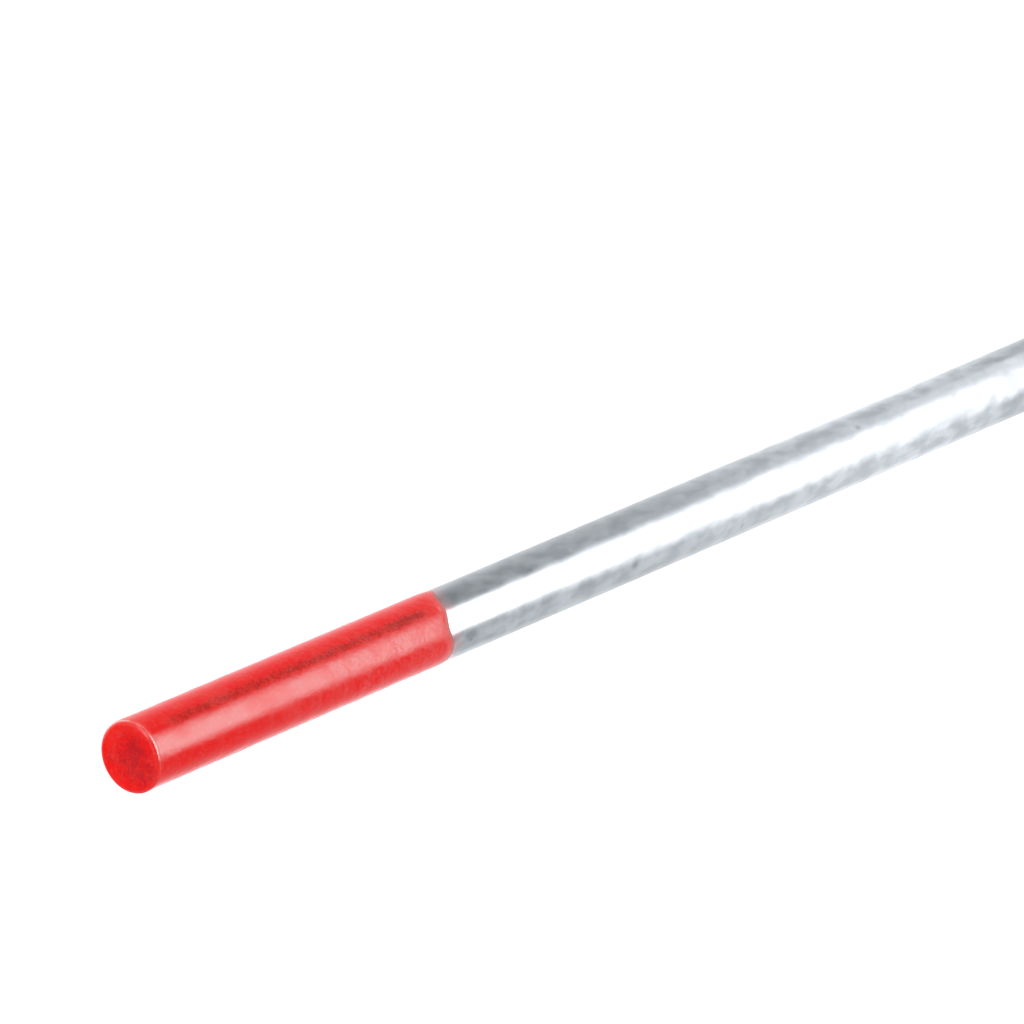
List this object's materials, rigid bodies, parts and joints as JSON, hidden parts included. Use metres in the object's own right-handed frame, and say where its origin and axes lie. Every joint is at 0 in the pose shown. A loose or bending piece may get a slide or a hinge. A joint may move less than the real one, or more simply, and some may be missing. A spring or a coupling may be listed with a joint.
{
  "type": "tig tungsten electrode",
  "caption": "Straight ground tungsten rod with square-cut ends, one end dipped in a thin red lacquer that codes the alloy.",
  "frame": {"origin": "on the rod's axis, halfway between its two cut ends", "axes": "+X along the rod towards the red end, +Y and +Z square across it"},
  "size_m": [0.15, 0.0024, 0.0024],
  "materials": {
    "ground_tungsten": "ground and polished, cool grey",
    "red_lacquer": "thin glossy dipped lacquer"
  },
  "bodies": {
    "root": {"tungsten_rod": "ground_tungsten", "red_end_coat": "red_lacquer"}
  },
  "joints": []
}
